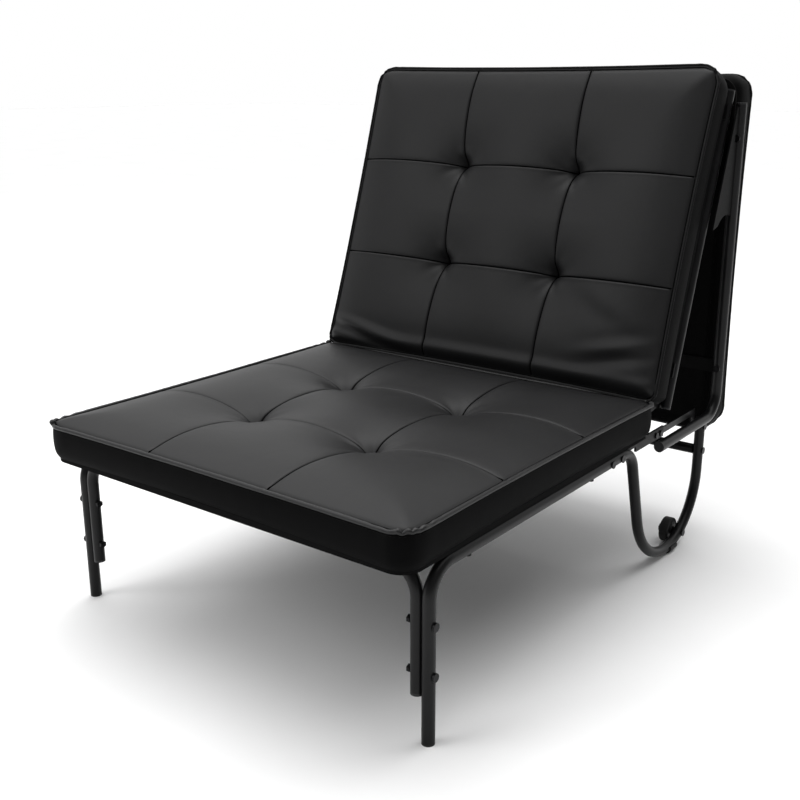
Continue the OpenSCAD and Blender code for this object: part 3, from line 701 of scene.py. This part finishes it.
def welt_mesh(name, edge_ring, out, s_fine, corner, radius, material, gather):
    """The piping round the top seam, gathered into a rough roll at the corners."""
    rough_wave = np.sin(s_fine / 0.0021) + 0.6 * np.sin(s_fine / 0.0034 + 1.0)
    rough_wave = rough_wave + 0.4 * np.sin(s_fine / 0.0013)
    path = edge_ring + out * (0.0006 + 0.0011 * gather * corner * np.sin(s_fine / 0.0027 + 0.5))[:, None]
    path[:, 2] = SIDE + WELT_RISE + 0.0018 * gather * corner * rough_wave
    wobble = 0.26 * gather * corner * rough_wave + 0.04 * np.sin(s_fine / 0.031)
    welt = tube_mesh(name + "_welt", path, radius, material, wobble=wobble)
    smoothed(welt)
    return welt


def seam_lines(name, top, xs, ys, w, d, seams_x, seams_y, edge_ring, out, welt_r):
    """Sewn lines along each seam and one just inside the welt, near-black as painted shade in the
    creases.
    """
    lift = [0, 0, SEAM_LIFT]
    lines = []
    for k, x in enumerate(seams_x):
        keep = (ys > SEAM_END) & (ys < d - SEAM_END)
        path = top[int(np.argmin(np.abs(xs - x)))][keep] + lift
        lines.append(tube_mesh(f"{name}_seam_x{k}", path, SEAM_RADIUS, SEAM_CREASE_SHADE, 6, False))
    for k, y in enumerate(seams_y):
        keep = np.abs(xs) < w / 2 - SEAM_END
        path = top[:, int(np.argmin(np.abs(ys - y)))][keep] + lift
        lines.append(tube_mesh(f"{name}_seam_y{k}", path, SEAM_RADIUS, SEAM_CREASE_SHADE, 6, False))
    inner = edge_ring - out * SEAM_INSET
    inner[:, 2] = SIDE + WELT_RISE
    lines.append(tube_mesh(name + "_seam_edge", inner, 0.3 * welt_r, SEAM_CREASE_SHADE, 6))
    return lines


def along_ring(ring, per, at):
    """Values of a closed ring at the distances at, where per holds each point's own distance."""
    closed = np.vstack([ring, ring[:1]])
    return np.stack([np.interp(at, per, closed[:, c]) for c in range(3)], -1)


def sewing(name, edge_ring, out):
    """The row of stitches below the welt, and the staples that hold the cover underneath."""
    step = np.linalg.norm(np.roll(edge_ring, -1, 0) - edge_ring, axis=1)
    per = np.concatenate([[0], np.cumsum(step)])
    at = np.arange(0.003, per[-1] - 0.002, SEW_PITCH)
    nor = along_ring(out, per, at)
    pos = along_ring(edge_ring, per, at) + nor * SEW_OUT
    pos[:, 2] = SIDE - SEW_DROP
    tan = np.stack([-nor[:, 1], nor[:, 0], np.zeros(len(nor))], -1)
    sew = stitches(name + "_stitches", pos, tan, nor, SEW_LENGTH, SEW_THICK, THREAD)
    at = np.arange(0.02, per[-1] - 0.01, STAPLE_PITCH)
    nor = along_ring(out, per, at)
    pos = along_ring(edge_ring - out * STAPLE_INSET, per, at)
    pos[:, 2] = STAPLE_HIGH
    tan = np.stack([-nor[:, 1], nor[:, 0], np.zeros(len(at))], -1)
    tan /= np.linalg.norm(tan, axis=1)[:, None]
    down = np.tile([0, 0, -1.0], (len(at), 1))
    staples = stitches(name + "_staples", pos, tan, down, STAPLE_LENGTH, STAPLE_THICK, FLAT_PAINT)
    return sew, staples


def cushion(
    name, node, body, turn, radii, deep, crown, cone, swell, welt_r, welt_material, gather, folds,
):
    """One padded panel in place of its CAD solid, with three by three cells and four tufts.

    radii are the plan's corner radii at the near and the far edge, deep the tufts' wide hollow and cone
    their own pit, crown the rise of the top over the welt, swell how far the near and far edges are
    pushed out, and gather how rough the welt is at the corners.
    """
    place, size = local_frame(node, turn)
    w, d = float(size[0]), float(size[1])
    tufts = [(w * a, d * b) for a in (-1 / 6, 1 / 6) for b in (1 / 3, 2 / 3)]
    seams_x, seams_y = [-w / 6, w / 6], [d / 3, 2 * d / 3]
    puff = None
    puff = inflate(name + "_blow", w, d, crown, radii, tufts, deep)
    xs = crowded(-w / 2, w / 2, seams_x)
    ys = crowded(0.0, d, seams_y)
    gx, gy, edge, top, bottom = cushion_points(xs, ys, w, d, crown, radii, tufts, deep)
    if puff is not None:
        cx, cy, sheet, walls = puff
        blown = catmull(sheet, cx[0], cx[1] - cx[0], xs)
        blown = catmull(blown.transpose(1, 0, 2), cy[0], cy[1] - cy[0], ys).transpose(1, 0, 2)
        top += blown
    else:
        cell = np.abs(np.sin(3 * math.pi * (gx / w + 0.5)) * np.sin(3 * math.pi * gy / d))
        top[..., 2] += QUICK_RISE * cell
    sew_top(top, gx, gy, edge, w, d, seams_x, seams_y, tufts, cone, swell, folds)
    rings = side_rings(top, RINGS)
    s_fine, total = perimeter(xs, ys)
    idx = outline(len(xs), len(ys))
    edge_ring = top[idx[:, 0], idx[:, 1]].copy()
    out = outward(edge_ring)
    corner = corner_share(edge_ring, out)
    for ring, k in zip(rings, RINGS):
        if puff is not None:
            s_coarse, _ = perimeter(cx, cy)
            ring += side_travel(walls, k, s_coarse, s_fine, total) * SIDE_PUFF
        # gathers in the boxing where it turns the corners
        wave = np.sin(s_fine / GATHER_PITCH) * GATHER_HIGH * corner * (1 - k) ** 1.5
        ring += out * wave[:, None]
    # the cover's turned-in edge lies lowest, round the board
    low = np.clip((UNDER_EDGE - edge) / 0.012, 0, 1)
    bottom[..., 2] = UNDER_HIGH * (1 - low) - UNDER_LOW * low
    o = cover_mesh(name, top, bottom, rings, len(xs), len(ys))
    welt = welt_mesh(name, edge_ring, out, s_fine, corner, welt_r, welt_material, gather)
    lines = seam_lines(name, top, xs, ys, w, d, seams_x, seams_y, edge_ring, out, welt_r)
    sew, staples = sewing(name, edge_ring, out)
    for p in [o, welt, sew, staples] + lines:
        p.data.transform(place)
        p.data.update()
        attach(p, body)
    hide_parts(node)


def no_folds(gx, *_):
    """A taut top sheet."""
    return np.zeros_like(gx)


def bundle(gx, gy, cx, cy, angle, length, width, high, waves):
    """A group of soft parallel folds about a point."""
    c, s = math.cos(angle), math.sin(angle)
    u = (gx - cx) * c + (gy - cy) * s
    v = -(gx - cx) * s + (gy - cy) * c
    return high * np.sin(v / width * waves) * np.exp(-(u / length) ** 2 - (v / width) ** 2)


def back_folds(gx, gy, w, d):
    """Loose folds low on the back panel."""
    f = bundle(gx, gy, -0.385 * w, 0.055 * d, math.radians(-10), 0.085, 0.019, 0.0110, 3.0)
    f += bundle(gx, gy, 0.40 * w, 0.12 * d, math.radians(12), 0.065, 0.028, 0.0052, 4.0)
    f += bundle(gx, gy, 0.36 * w, 0.23 * d, math.radians(-24), 0.09, 0.03, 0.0018, 2.2)
    # the lower edge hangs a little over the seat
    f += 0.007 * np.exp(-((gy - 0.022) / 0.011) ** 2) - 0.003 * np.exp(-((gy - 0.005) / 0.006) ** 2)
    return f


def rear_folds(gx, gy, w, d):
    """Soft folds at the lower end of the rear panel."""
    f = bundle(gx, gy, -0.34 * w, 0.9 * d, math.radians(24), 0.09, 0.032, 0.0028, 2.4)
    f += bundle(gx, gy, 0.30 * w, 0.93 * d, math.radians(-18), 0.10, 0.03, 0.0026, 2.2)
    return f


FLAT = Matrix.Identity(4)
UPRIGHT = Matrix.Rotation(math.pi / 2 - LEAN, 4, "X")
HANGING = Matrix.Rotation(-math.pi / 2, 4, "X")
cushion(
    "seat_pad", "seat_cushion", "base", FLAT,
    radii=(OUTER, MEETING), deep=0.027, crown=0.014, cone=0.003, swell=(0, 0.003),
    welt_r=0.0036, welt_material=LIT_WELT_LEATHER, gather=1.0, folds=no_folds,
)
cushion(
    "back_pad", "back_cushion", "back", UPRIGHT,
    radii=(MEETING, OUTER), deep=0.029, crown=0.013, cone=0.007, swell=(0.0045, 0),
    welt_r=0.0019, welt_material=SHADED_WELT_LEATHER, gather=0.5, folds=back_folds,
)
cushion(
    "rear_pad", "rear_cushion", "rear", HANGING,
    radii=(OUTER, OUTER), deep=0.026, crown=0.013, cone=0.006, swell=(0, 0.008),
    welt_r=0.0019, welt_material=SHADED_WELT_LEATHER, gather=0.5, folds=rear_folds,
)


# ---------------------------------------------------------------- camera, floor and light

# the camera solved from the photo's vanishing points, in metres, degrees and millimetres of lens
FRONT = CAD_BOX[0][1]
EYE = (1.0888, FRONT - 0.9486, 0.8594)
DOWN, LEVEL, ROUND = 16.72, 0.08, 37.55
LENS = 47.9
cam = bpy.data.objects.new("camera", bpy.data.cameras.new("camera"))
bpy.context.collection.objects.link(cam)
cam.location = EYE
cam.rotation_euler = (math.radians(90 - DOWN), math.radians(LEVEL), math.radians(ROUND))
cam.data.sensor_width = 36.0
cam.data.lens = LENS
cam.data.clip_end = 50
bpy.context.scene.camera = cam

FAR = 30
me = bpy.data.meshes.new("floor")
me.from_pydata([(-FAR, -FAR, 0), (FAR, -FAR, 0), (FAR, FAR, 0), (-FAR, FAR, 0)], [], [(0, 1, 2, 3)])
floor = bpy.data.objects.new("floor", me)
bpy.context.collection.objects.link(floor)
m, nt, b = tree("floor_white")
paper = ramp(nt, noise(nt, coords(nt), 3.0), [(0.3, grey(0.90)), (0.7, grey(0.93))])
nt.links.new(paper, b.inputs["Base Color"])
b.inputs["Roughness"].default_value = 0.9
me.materials.append(m)

world = bpy.data.worlds.new("studio")
bpy.context.scene.world = world
world.use_nodes = True
wt = world.node_tree
direction = wt.nodes.new("ShaderNodeTexCoord").outputs["Generated"]
towards = wt.nodes.new("ShaderNodeVectorMath")
towards.operation = "DOT_PRODUCT"
# white behind the object as the photo's camera sees it, greyer the other way, to shade the near faces
towards.inputs[1].default_value = (-0.61, 0.79, 0.0)
wt.links.new(direction, towards.inputs[0])
backdrop = ramp(wt, towards.outputs["Value"], [(0.0, grey(0.22)), (0.35, grey(1.0))])
wt.links.new(backdrop, wt.nodes["Background"].inputs[0])
wt.nodes["Background"].inputs[1].default_value = 1.0


def area(name, at, towards, size, power):
    """A soft rectangular light."""
    light = bpy.data.lights.new(name, "AREA")
    light.shape = "RECTANGLE"
    light.size, light.size_y = size
    light.energy = power
    o = bpy.data.objects.new(name, light)
    bpy.context.collection.objects.link(o)
    o.location = at
    o.rotation_euler = (Vector(towards) - Vector(at)).to_track_quat("-Z", "Y").to_euler()


area("overhead", (-0.3, 0.3, 3.2), (0, 0.1, 0.3), (2.4, 2.4), 40)
area("front_soft", (-1.6, -2.6, 2.4), (0, 0, 0.5), (1.6, 1.6), 36)
sky = bpy.data.lights.new("sky", "SUN")
sky.energy = 1.8
sky.angle = math.radians(80)
sky_object = bpy.data.objects.new("sky", sky)
bpy.context.collection.objects.link(sky_object)
sky_object.rotation_euler = (math.radians(-8), math.radians(-6), 0)

bpy.context.scene.view_settings.view_transform = "Standard"
bpy.context.scene.view_settings.look = "None"
